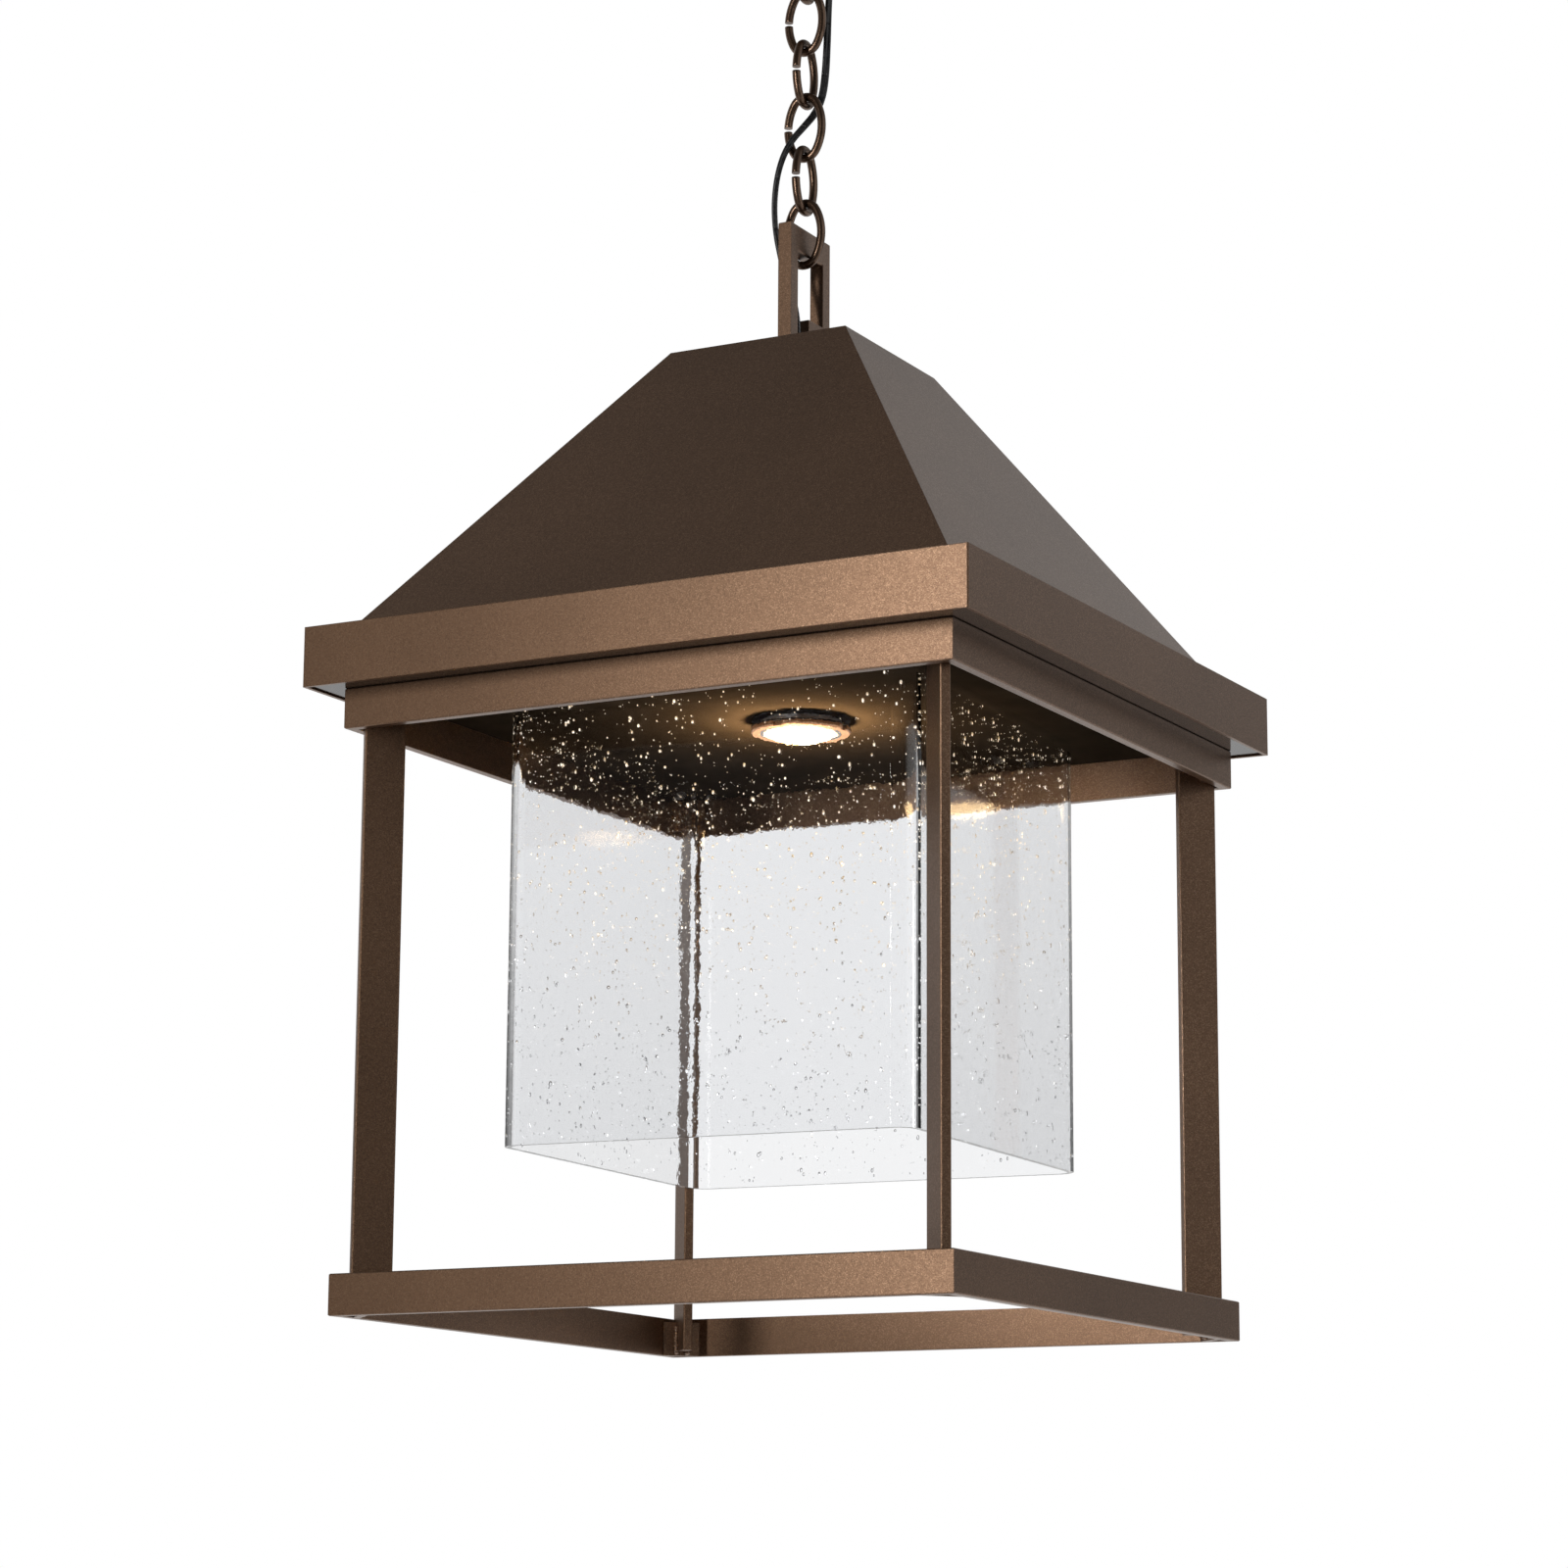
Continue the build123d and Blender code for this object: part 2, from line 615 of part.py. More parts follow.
# Heat sink: finned casting on the soffit, with a threaded neck that passes down through the shade
with BuildPart() as heat_sink:
    with BuildSketch(Plane.XY.offset(soffit_top_z)):
        Circle(sink_d / 2)
    extrude(amount=sink_base)
    with BuildSketch(Plane.XY.offset(soffit_top_z + sink_base)):
        Circle(sink_hub_d / 2)
        with PolarLocations(fin_reach / 2, fin_count):
            Rectangle(fin_reach, fin_thick)
    extrude(amount=fin_height)
    with BuildSketch(Plane.XY.offset(neck_low_z)):
        Circle(neck_d / 2)
    extrude(amount=soffit_top_z - neck_low_z)
    with BuildSketch(Plane.XY.offset(neck_low_z)):
        Circle(lens_d / 2 + weld_gap)
    extrude(amount=lens_edge, mode=Mode.SUBTRACT)
    with BuildSketch(Plane.XY.offset(neck_low_z + lens_edge)):
        Circle(cup_d / 2)
    extrude(amount=cup_depth, mode=Mode.SUBTRACT)
save(heat_sink.part, "heat_sink")

# Shade ring: nut on the neck that clamps the glass, notched for a spanner
with BuildPart() as shade_ring:
    with BuildSketch(Plane.XY.offset(neck_low_z)):
        Circle(shade_ring_d / 2)
        Circle(neck_d / 2 + thread_gap, mode=Mode.SUBTRACT)
    extrude(amount=shade_ring_height)
    chamfer(shade_ring.faces().sort_by(Axis.Z)[0].outer_wire().edges(), ring_ease)
    with BuildSketch(Plane.XY.offset(neck_low_z)):
        with PolarLocations(shade_ring_d / 2, ring_notches):
            Rectangle(2 * notch_depth, notch_width)
    extrude(amount=shade_ring_height, mode=Mode.SUBTRACT)
save(shade_ring.part, "shade_ring")

# Light board in the neck's cup, with its chip facing down
board_low_z = neck_low_z + lens_edge + cup_depth - board_thick
with BuildPart() as led_board:
    with BuildSketch(Plane.XY.offset(board_low_z)):
        Circle(cup_d / 2 - weld_gap)
    extrude(amount=board_thick)
    with BuildSketch(Plane.XY.offset(board_low_z)):
        Circle(chip_d / 2)
    extrude(amount=-chip_thick)
save(led_board.part, "led_board")

# Lens: frosted disc in the mouth of the neck, crowned downwards
lens_bow = (lens_d**2 / 4 + lens_crown**2) / (2 * lens_crown)
with BuildPart() as led_lens:
    with BuildSketch(Plane.XZ):
        with BuildLine():
            rim = Polyline(
                (0, neck_low_z - lens_crown),
                (0, neck_low_z + lens_edge),
                (lens_d / 2, neck_low_z + lens_edge),
                (lens_d / 2, neck_low_z),
            )
            RadiusArc(rim @ 1, rim @ 0, lens_bow)
        make_face()
    revolve(axis=Axis.Z)
save(led_lens.part, "led_lens")

# Bridge: hat of bent sheet over the heat sink, on the soffit's studs
with BuildPart() as driver_bridge:
    with BuildSketch(Plane.XZ):
        with Locations((0, soffit_top_z)):
            Rectangle(2 * (bridge_inside + bridge_sheet), bridge_height, align=(Align.CENTER, Align.MIN))
            Rectangle(
                2 * bridge_inside,
                bridge_height - bridge_sheet,
                align=(Align.CENTER, Align.MIN),
                mode=Mode.SUBTRACT,
            )
        with Locations((-foot_middle, soffit_top_z), (foot_middle, soffit_top_z)):
            Rectangle(bridge_foot, bridge_sheet, align=(Align.CENTER, Align.MIN))
    extrude(amount=bridge_width / 2, both=True)
    with BuildSketch(Plane.XY.offset(soffit_top_z)):
        with GridLocations(2 * foot_middle, stud_spacing, 2, 2):
            Circle(screw_d / 2 + hole_gap)
    extrude(amount=bridge_sheet, mode=Mode.SUBTRACT)
    with BuildSketch(Plane.XY.offset(bridge_top_z)):
        with Locations(driver_screw_places):
            Circle(screw_d / 2 + thread_gap)
    extrude(amount=-bridge_sheet, mode=Mode.SUBTRACT)
save(driver_bridge.part, "driver_bridge")

# Nuts on the studs
with BuildPart() as bridge_nuts:
    with BuildSketch(Plane.XY.offset(soffit_top_z + bridge_sheet)):
        with GridLocations(2 * foot_middle, stud_spacing, 2, 2):
            RegularPolygon(stud_nut_flats / 2, 6, major_radius=False)
            Circle(screw_d / 2 + thread_gap, mode=Mode.SUBTRACT)
    extrude(amount=stud_nut)
save(bridge_nuts.part, "bridge_nuts")

# Driver: sealed box with a screw ear at each end
with BuildPart() as led_driver:
    with BuildSketch(Plane.XY.offset(bridge_top_z)):
        RectangleRounded(driver_length, driver_width, driver_round)
    extrude(amount=driver_height)
    with BuildSketch(Plane.XY.offset(bridge_top_z)):
        SlotOverall(driver_length + 2 * driver_ear, ear_width)
        with Locations(driver_screw_places):
            Circle(screw_d / 2 + hole_gap, mode=Mode.SUBTRACT)
    extrude(amount=ear_thick)
save(led_driver.part, "led_driver")

driver_screws = screws(
    driver_screw_places,
    bridge_top_z + ear_thick,
    -1,
    screw_d,
    ear_thick + bridge_sheet + screw_end,
    screw_head_d,
    screw_head,
)
save(driver_screws, "driver_screws")
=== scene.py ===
import math
import random

import bmesh
import bpy
from mathutils import Matrix, Vector


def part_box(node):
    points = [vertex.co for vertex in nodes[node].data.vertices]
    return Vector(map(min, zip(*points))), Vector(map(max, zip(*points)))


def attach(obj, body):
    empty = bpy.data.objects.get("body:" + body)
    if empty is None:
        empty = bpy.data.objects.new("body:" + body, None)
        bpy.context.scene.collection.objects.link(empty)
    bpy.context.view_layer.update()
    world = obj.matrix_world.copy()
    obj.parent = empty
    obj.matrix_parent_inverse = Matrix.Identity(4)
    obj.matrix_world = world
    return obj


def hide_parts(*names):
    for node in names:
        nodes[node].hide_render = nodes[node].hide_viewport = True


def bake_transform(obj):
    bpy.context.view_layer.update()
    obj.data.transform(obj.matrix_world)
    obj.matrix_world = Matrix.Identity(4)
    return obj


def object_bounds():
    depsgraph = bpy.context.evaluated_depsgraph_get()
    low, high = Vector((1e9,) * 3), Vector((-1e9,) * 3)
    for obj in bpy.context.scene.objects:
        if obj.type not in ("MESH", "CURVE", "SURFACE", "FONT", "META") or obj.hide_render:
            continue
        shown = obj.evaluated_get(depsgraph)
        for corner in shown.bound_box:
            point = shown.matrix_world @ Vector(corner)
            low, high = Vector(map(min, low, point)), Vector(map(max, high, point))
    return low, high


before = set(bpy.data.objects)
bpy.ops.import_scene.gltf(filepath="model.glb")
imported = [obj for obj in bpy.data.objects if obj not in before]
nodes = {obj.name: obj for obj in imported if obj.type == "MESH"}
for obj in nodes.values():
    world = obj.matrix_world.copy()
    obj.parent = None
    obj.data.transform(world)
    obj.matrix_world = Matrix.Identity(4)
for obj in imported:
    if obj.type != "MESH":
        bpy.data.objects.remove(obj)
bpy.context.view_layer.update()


# Ceiling canopy
# A dish spun from sheet and drawn up to the ceiling by a collar nut on the loop's stem. Like all the
# painted metal below it, it has a bronze powder coat with fine metal fleck, satin and slightly peeled.
def node(tree, kind, values=None, **settings):
    """A new node with these settings, each of its inputs given a value or another node's output."""
    made = tree.nodes.new("ShaderNode" + kind)
    for name, value in settings.items():
        setattr(made, name, value)
    for name, value in (values or {}).items():
        if isinstance(value, bpy.types.NodeSocket):
            tree.links.new(value, made.inputs[name])
        else:
            made.inputs[name].default_value = value
    return made


def ramp(tree, factor, stops):
    """A colour that runs through the stops, each a place from 0 to 1 and a colour."""
    made = node(tree, "ValToRGB", {"Fac": factor})
    while len(made.color_ramp.elements) < len(stops):
        made.color_ramp.elements.new(1.0)
    for element, (place, colour) in zip(made.color_ramp.elements, stops):
        element.position = place
        element.color = (*colour, 1.0)
    return made.outputs["Color"]


def spread(tree, value, low, high, start, end):
    """A value that goes from start to end as the given one goes from low to high."""
    values = {"Value": value, "From Min": low, "From Max": high, "To Min": start, "To Max": end}
    return node(tree, "MapRange", values).outputs["Result"]


def new_group(name, inputs, outputs):
    """An empty effect with number inputs, and its input and output nodes."""
    group = bpy.data.node_groups.new(name, "ShaderNodeTree")
    for label, value in inputs.items():
        socket = group.interface.new_socket(label, in_out="INPUT", socket_type="NodeSocketFloat")
        socket.default_value = value
    for label, kind in outputs.items():
        group.interface.new_socket(label, in_out="OUTPUT", socket_type="NodeSocket" + kind)
    return group, group.nodes.new("NodeGroupInput").outputs, group.nodes.new("NodeGroupOutput").inputs


def new_material(name):
    """An empty material, its tree and its shader."""
    made = bpy.data.materials.new(name)
    made.use_nodes = True
    return made, made.node_tree, made.node_tree.nodes["Principled BSDF"]


def dress(finish, *names):
    """Gives CAD nodes a finish."""
    for name in names:
        nodes[name].data.materials.clear()
        nodes[name].data.materials.append(finish)


coat_shadow = (0.130, 0.074, 0.044)
coat_brown = (0.185, 0.107, 0.063)
coat_warm = (0.210, 0.122, 0.073)
coat_fleck = (0.310, 0.192, 0.120)
coat_ease = 0.0009
peel_height = 0.0005
powder, given, result = new_group(
    "powder_coat",
    {"Fleck Scale": 1900.0, "Tone": 1.0, "Peel": 0.1},
    {"Color": "Color", "Roughness": "Float", "Normal": "Vector"},
)
place = node(powder, "TexCoord").outputs["Object"]
fleck = node(powder, "TexVoronoi", {"Vector": place, "Scale": given["Fleck Scale"]})
pick = node(powder, "SeparateColor", {"Color": fleck.outputs["Color"]}).outputs["Red"]
coat_stops = [(0.0, coat_shadow), (0.25, coat_brown), (0.75, coat_warm), (0.95, coat_fleck)]
grains = ramp(powder, pick, coat_stops)
cloud = node(powder, "TexNoise", {"Vector": place, "Scale": 7.0, "Detail": 3.0}).outputs["Fac"]
drift = spread(powder, cloud, 0.3, 0.7, 0.90, 1.10)
tone = node(powder, "Math", {0: drift, 1: given["Tone"]}, operation="MULTIPLY")
toned = node(powder, "VectorMath", {"Vector": grains, "Scale": tone.outputs["Value"]}, operation="SCALE")
powder.links.new(toned.outputs["Vector"], result["Color"])
powder.links.new(spread(powder, pick, 0.5, 1.0, 0.42, 0.34), result["Roughness"])
peel = node(powder, "TexNoise", {"Vector": place, "Scale": 480.0, "Detail": 2.0}).outputs["Fac"]
eased = node(powder, "Bevel", {"Radius": coat_ease}, samples=4).outputs["Normal"]
peeled = node(powder, "Bump", {"Strength": given["Peel"], "Distance": peel_height, "Height": peel})
powder.links.new(eased, peeled.inputs["Normal"])
powder.links.new(peeled.outputs["Normal"], result["Normal"])


def coated_metal(name, effect, values, coat, coat_roughness):
    """Metal finished by an effect with these values, under a clear gloss of that weight and roughness."""
    made, tree, shader = new_material(name)
    surface = node(tree, "Group", values, node_tree=effect).outputs
    for socket, output in (("Base Color", "Color"), ("Roughness", "Roughness"), ("Normal", "Normal")):
        tree.links.new(surface[output], shader.inputs[socket])
    shader.inputs["Metallic"].default_value = 0.85
    shader.inputs["Coat Weight"].default_value = coat
    shader.inputs["Coat Roughness"].default_value = coat_roughness
    return made


def bronze_coat(name, tone, peel, coat, coat_roughness=0.30):
    """Bronze powder coat of that tone and peel, under a clear gloss of that weight and roughness."""
    return coated_metal(name, powder, {"Tone": tone, "Peel": peel}, coat, coat_roughness)


bronze = bronze_coat("bronze_coat", 1.0, 0.08, 0.25)
dress(bronze, "ceiling_canopy")


# Mounting strap, nipple and lock nut
# Steel bar slotted for the outlet box's screws, with a threaded tube through it and a nut under it.
# They are bright zinc plated, with the faint spangle and smears of barrel plating.
zinc_light = (0.66, 0.66, 0.64)
zinc_dull = (0.50, 0.50, 0.48)
zinc, tree, shader = new_material("zinc_plate")
place = node(tree, "TexCoord").outputs["Object"]
spangle = node(tree, "TexVoronoi", {"Vector": place, "Scale": 260.0}).outputs["Color"]
shine = node(tree, "SeparateColor", {"Color": spangle}).outputs["Green"]
tree.links.new(ramp(tree, shine, [(0.1, zinc_dull), (0.9, zinc_light)]), shader.inputs["Base Color"])
tree.links.new(spread(tree, shine, 0.0, 1.0, 0.30, 0.45), shader.inputs["Roughness"])
shader.inputs["Metallic"].default_value = 1.0
dress(zinc, "mounting_strap", "strap_nipple", "strap_nut")


# Loop and collar nut
# The loop is a cast stem and ring that the first link hangs in, and the nut on its stem holds the canopy
# up. Both are finished like the chain: dark bronze, rubbed lighter on the high spots.
chain_dark = (0.075, 0.045, 0.030)
chain_brown = (0.135, 0.082, 0.053)
chain_rubbed = (0.270, 0.172, 0.113)
chain_gloss = 0.2
chain_gloss_roughness = 0.15
dent_depth = 0.0006
rubbed, given, result = new_group(
    "rubbed_bronze",
    {"Rub Scale": 90.0, "Dent": 0.15},
    {"Color": "Color", "Roughness": "Float", "Normal": "Vector"},
)
place = node(rubbed, "TexCoord").outputs["Object"]
patch = node(rubbed, "TexNoise", {"Vector": place, "Scale": given["Rub Scale"], "Detail": 5.0})
patch = patch.outputs["Fac"]
rub_stops = [(0.25, chain_dark), (0.45, chain_brown), (0.60, chain_brown), (0.80, chain_rubbed)]
rubbed.links.new(ramp(rubbed, patch, rub_stops), result["Color"])
rubbed.links.new(spread(rubbed, patch, 0.35, 0.75, 0.32, 0.22), result["Roughness"])
dents = node(rubbed, "TexNoise", {"Vector": place, "Scale": 380.0, "Detail": 3.0}).outputs["Fac"]
dented = node(rubbed, "Bump", {"Strength": given["Dent"], "Distance": dent_depth, "Height": dents})
rubbed.links.new(dented.outputs["Normal"], result["Normal"])


def chain_finish(name, rub_scale, dent):
    """Dark bronze metal, rubbed in patches of that scale, with dents of that strength."""
    rubs = {"Rub Scale": rub_scale, "Dent": dent}
    return coated_metal(name, rubbed, rubs, chain_gloss, chain_gloss_roughness)


dress(chain_finish("cast_loop", 60.0, 0.25), "canopy_loop", "canopy_collar_nut")


# Bushings and gaskets
# Flanged rubber bushings keep the flex off the edges of the canopy and the roof, and flat rubber washers
# lie above and below the glass. The rubber is matt black, with a bloom of grey.
mottle, given, result = new_group(
    "mottle",
    {"Scale": 220.0, "Detail": 4.0, "Smoothest": 0.5, "Roughest": 0.7, "Bump": 0.2, "Height": 0.0003},
    {"Mask": "Float", "Roughness": "Float", "Normal": "Vector"},
)
place = node(mottle, "TexCoord").outputs["Object"]
cloud = node(mottle, "TexNoise", {"Vector": place, "Scale": given["Scale"], "Detail": given["Detail"]})
cloud = cloud.outputs["Fac"]
dulled = spread(mottle, cloud, 0.3, 0.7, given["Smoothest"], given["Roughest"])
bumped = node(mottle, "Bump", {"Strength": given["Bump"], "Distance": given["Height"], "Height": cloud})
mottle.links.new(cloud, result["Mask"])
mottle.links.new(dulled, result["Roughness"])
mottle.links.new(bumped.outputs["Normal"], result["Normal"])


def mottled(name, stops, values, metallic=0.0):
    """A material that a mottle of these values makes uneven, in the colours of the stops."""
    made, tree, shader = new_material(name)
    mottling = node(tree, "Group", values, node_tree=mottle).outputs
    tree.links.new(ramp(tree, mottling["Mask"], stops), shader.inputs["Base Color"])
    tree.links.new(mottling["Roughness"], shader.inputs["Roughness"])
    tree.links.new(mottling["Normal"], shader.inputs["Normal"])
    shader.inputs["Metallic"].default_value = metallic
    return made


rubber_black = (0.012, 0.012, 0.013)
rubber_bloom = (0.040, 0.040, 0.042)
rubber = mottled(
    "black_rubber",
    [(0.35, rubber_black), (0.75, rubber_bloom)],
    {"Scale": 220.0, "Detail": 4.0, "Smoothest": 0.62, "Roughest": 0.80, "Bump": 0.2},
)
dress(rubber, "canopy_bushing", "roof_bushing", "upper_gasket", "lower_gasket")


# Chain
# Six oval links bent from round wire and coated like the loop, each left with an open seam on one side.
# The first hangs in the loop's ring and the last carries the stirrup's bar.
link_count = 6
link_wire = 0.00556
link_end_radius = 0.0095
link_seam = 0.0029
bend_steps = 12
wire_steps = 16


def tube(made, rings, finish):
    """Joins rings of corners into a tube, closed at both ends."""
    faces = [made.faces.new(rings[0][::-1]), made.faces.new(rings[-1])]
    for low, high in zip(rings, rings[1:]):
        for corner in range(len(low)):
            after = (corner + 1) % len(low)
            faces.append(made.faces.new((low[corner], low[after], high[after], high[corner])))
    for face in faces:
        face.smooth = len(face.verts) == 4
        face.material_index = finish


def mesh_object(name, made, finishes):
    """A piece in the scene from a mesh being built and its finishes."""
    data = bpy.data.meshes.new(name)
    made.to_mesh(data)
    made.free()
    for finish in finishes:
        data.materials.append(finish)
    piece = bpy.data.objects.new(name, data)
    bpy.context.scene.collection.objects.link(piece)
    return piece


def open_link(low, high, across):
    """A wire bent to four arcs that fill a box, in the upright plane that holds the direction across."""
    middle = (low + high) / 2
    upward = Vector((0.0, 0.0, 1.0))
    beside = across.cross(upward)
    end_middle = ((high - low).z - link_wire) / 2 - link_end_radius
    side = ((high - low).dot(across) - link_wire) / 2
    side_radius = (side**2 + end_middle**2 - link_end_radius**2) / (2 * (side - link_end_radius))
    side_middle = side_radius - side
    side_angle = math.atan2(end_middle, side_middle)
    seam_angle = link_seam / 2 / side_radius
    arcs = [
        (side_middle * across, side_radius, math.pi - seam_angle, math.pi - side_angle),
        (end_middle * upward, link_end_radius, math.pi - side_angle, side_angle),
        (-side_middle * across, side_radius, side_angle, -side_angle),
        (-end_middle * upward, link_end_radius, -side_angle, side_angle - math.pi),
        (side_middle * across, side_radius, math.pi + side_angle, math.pi + seam_angle),
    ]
    bends = []
    for centre, radius, start, stop in arcs:
        for step in range(bend_steps):
            bends.append((centre, radius, start + (stop - start) * step / bend_steps))
    bends.append((centre, radius, stop))
    made = bmesh.new()
    rings = []
    for centre, radius, angle in bends:
        out = math.cos(angle) * across + math.sin(angle) * upward
        ring = []
        for corner in range(wire_steps):
            turn = 2 * math.pi * corner / wire_steps
            round_wire = math.cos(turn) * out + math.sin(turn) * beside
            ring.append(made.verts.new(middle + centre + radius * out + link_wire / 2 * round_wire))
        rings.append(ring)
    tube(made, rings, 0)
    return made


link_finish = chain_finish("chain_bronze", 45.0, 0.03)
for number in range(1, link_count + 1):
    across = Vector((0.0, 1.0, 0.0) if number % 2 else (1.0, 0.0, 0.0))
    made = open_link(*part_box(f"chain_link_{number}"), across)
    link = mesh_object(f"open_link_{number}", made, [link_finish])
    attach(link, f"link_{number}")
    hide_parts(f"chain_link_{number}")


# Twin flex
# Two black insulated conductors side by side with a bare grey earth strand in the groove between them,
# woven through the links from the canopy's bushing to the roof's, and cut into lengths at the links'
# middles.
flex_route = [
    (0.0190, 0.0120, -0.0160),
    (0.0187, 0.0119, -0.0360),
    (0.0164, 0.0104, -0.0590),
    (0.0138, 0.0087, -0.0830),
    (0.0127, 0.0080, -0.1070),
    (0.0116, 0.0087, -0.1310),
    (0.0102, 0.0094, -0.1500),
    (0.0086, 0.0082, -0.1660),
    (0.0054, 0.0044, -0.1780),
    (-0.0005, -0.0008, -0.1880),
    (-0.0066, -0.0062, -0.1980),
    (-0.0114, -0.0098, -0.2100),
    (-0.0142, -0.0128, -0.2260),
    (-0.0144, -0.0160, -0.2460),
    (-0.0126, -0.0166, -0.2670),
    (-0.0092, -0.0144, -0.2860),
    (-0.0044, -0.0108, -0.3020),
    (-0.0009, -0.0088, -0.3170),
    (0.0000, -0.0084, -0.3340),
    (0.0000, -0.0085, -0.3510),
    (0.0001, -0.0085, -0.3660),
]
core_radius = 0.0014
core_offset = 0.0012
strand_radius = 0.0006
strand_offset = math.sqrt((core_radius + strand_radius) ** 2 - core_offset**2)
flex_turns = 0.75
lobe_steps = 9
strand_steps = 10

route_data = bpy.data.curves.new("flex_route", "CURVE")
route_data.dimensions = "3D"
route_data.resolution_u = 12
spline = route_data.splines.new("NURBS")
spline.points.add(len(flex_route) - 1)
for point, spot in zip(spline.points, flex_route):
    point.co = (*spot, 1.0)
spline.order_u = 3
spline.use_endpoint_u = True
route_object = bpy.data.objects.new("flex_route", route_data)
route_mesh = bpy.data.meshes.new_from_object(route_object)
route = [vertex.co.copy() for vertex in route_mesh.vertices]
bpy.data.objects.remove(route_object)
bpy.data.curves.remove(route_data)
bpy.data.meshes.remove(route_mesh)

steps = [(after - before).length for before, after in zip(route, route[1:])]
flex_length = sum(steps)
sides = []
side = Vector((1.0, -1.0, 0.0))
travelled = 0.0
for number, spot in enumerate(route):
    ahead = (route[min(number + 1, len(route) - 1)] - route[max(number - 1, 0)]).normalized()
    side = (side - side.dot(ahead) * ahead).normalized()
    turned = Matrix.Rotation(2 * math.pi * flex_turns * travelled / flex_length, 3, ahead) @ side
    sides.append((turned, ahead.cross(turned)))
    travelled += steps[number] if number < len(steps) else 0.0

groove = math.acos(-core_offset / core_radius)
lobe = [groove * (2 * step / (lobe_steps - 1) - 1) for step in range(lobe_steps)]
twin_outline = [(core_offset + core_radius * math.cos(a), core_radius * math.sin(a)) for a in lobe[:-1]]
twin_outline += [(-x, -y) for x, y in twin_outline]
strand_turn = [2 * math.pi * step / strand_steps for step in range(strand_steps)]
strand_outline = [
    (strand_radius * math.cos(a), strand_offset + strand_radius * math.sin(a)) for a in strand_turn
]


def sweep(made, first, last, outline, finish):
    """Carries an outline along the flex from one point of its route to another."""
    rings = []
    for spot, (across, over) in zip(route[first : last + 1], sides[first : last + 1]):
        rings.append([made.verts.new(spot + x * across + y * over) for x, y in outline])
    tube(made, rings, finish)


flex_black = (0.010, 0.010, 0.011)
flex_scuff = (0.045, 0.045, 0.048)
insulation = mottled(
    "flex_insulation",
    [(0.4, flex_black), (0.8, flex_scuff)],
    {"Scale": 260.0, "Detail": 4.0, "Smoothest": 0.28, "Roughest": 0.42, "Bump": 0.1},
)

strand_grey = (0.30, 0.30, 0.31)
strand_dull = (0.14, 0.14, 0.145)
strand_ridge = 0.0002
earth, tree, shader = new_material("earth_strand")
place = node(tree, "TexCoord").outputs["Object"]
wave = {"Vector": place, "Scale": 240.0, "Distortion": 1.5}
twist = node(tree, "TexWave", wave, bands_direction="DIAGONAL").outputs["Fac"]
tree.links.new(ramp(tree, twist, [(0.2, strand_dull), (0.8, strand_grey)]), shader.inputs["Base Color"])
tree.links.new(spread(tree, twist, 0.0, 1.0, 0.45, 0.30), shader.inputs["Roughness"])
wires = node(tree, "Bump", {"Strength": 0.4, "Distance": strand_ridge, "Height": twist})
tree.links.new(wires.outputs["Normal"], shader.inputs["Normal"])
shader.inputs["Metallic"].default_value = 0.7

link_middles = []
for number in range(1, link_count + 1):
    low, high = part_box(f"chain_link_{number}")
    link_middles.append((low.z + high.z) / 2)
cuts = [0]
for middle in link_middles:
    cuts.append(min(range(len(route)), key=lambda number: abs(route[number].z - middle)))
cuts.append(len(route) - 1)
for number, (first, last) in enumerate(zip(cuts, cuts[1:])):
    made = bmesh.new()
    sweep(made, first, last, twin_outline, 0)
    sweep(made, first, last, strand_outline, 1)
    stretch = mesh_object(f"flex_{number + 1}", made, [insulation, earth])
    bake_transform(stretch)
    if number == 0:
        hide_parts("supply_cord")


# Stirrup, backing plate and screws
# Thick plate with a window for the last link and a slot for the flex, standing on the roof's flat top and
# held by two screws from inside, through a backing plate that spreads the load.
dress(bronze_coat("stirrup_coat", 0.95, 0.14, 0.4), "stirrup")
dress(zinc, "stirrup_backing", "stirrup_screws")


# Roof
# Four slopes and a flat top folded from sheet, welded along the hips, ground flush and coated.
dress(bronze, "roof_shell")


# Eave tray
# Deep fascia and narrow ledge folded from heavier sheet. The roof stands on the ledge, welded to it.
dress(bronze, "eave_tray")


# Soffit, corner tabs and screws
# Flat plate that closes the eave from below, screwed to tabs welded into the corners. It is glossy
# outside the collar; inside it is painted near black as shade. The screws are zinc plated.
# The colours inside the collar are painted shade, near black and smeared by noise; the gloss coat lies only
# outside.
painted_shade_dark = (0.034, 0.024, 0.016)
painted_shade_smeared = (0.044, 0.031, 0.020)
gloss_brown = (0.050, 0.034, 0.025)
gloss_edge = 0.003
soffit_coat, tree, shader = new_material("soffit_coat")
place = node(tree, "TexCoord").outputs["Object"]
across = node(tree, "VectorMath", {0: place}, operation="ABSOLUTE").outputs["Vector"]
across = node(tree, "SeparateXYZ", {"Vector": across}).outputs
outermost = node(tree, "Math", {0: across["X"], 1: across["Y"]}, operation="MAXIMUM").outputs["Value"]
collar_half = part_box("collar")[1].x
glossed = spread(tree, outermost, collar_half - gloss_edge, collar_half, 0.0, 1.0)
smear = node(tree, "TexNoise", {"Vector": place, "Scale": 34.0, "Detail": 5.0}).outputs["Fac"]
paint = node(tree, "Mix", {"Factor": glossed}, data_type="RGBA")
tree.links.new(ramp(tree, smear, [(0.3, painted_shade_dark), (0.7, painted_shade_smeared)]), paint.inputs["A"])
paint.inputs["B"].default_value = (*gloss_brown, 1.0)
tree.links.new(paint.outputs["Result"], shader.inputs["Base Color"])
tree.links.new(glossed, shader.inputs["Coat Weight"])
tree.links.new(spread(tree, smear, 0.3, 0.7, 0.55, 0.70), shader.inputs["Roughness"])
shader.inputs["Coat Roughness"].default_value = 0.12
shader.inputs["Specular IOR Level"].default_value = 0.0
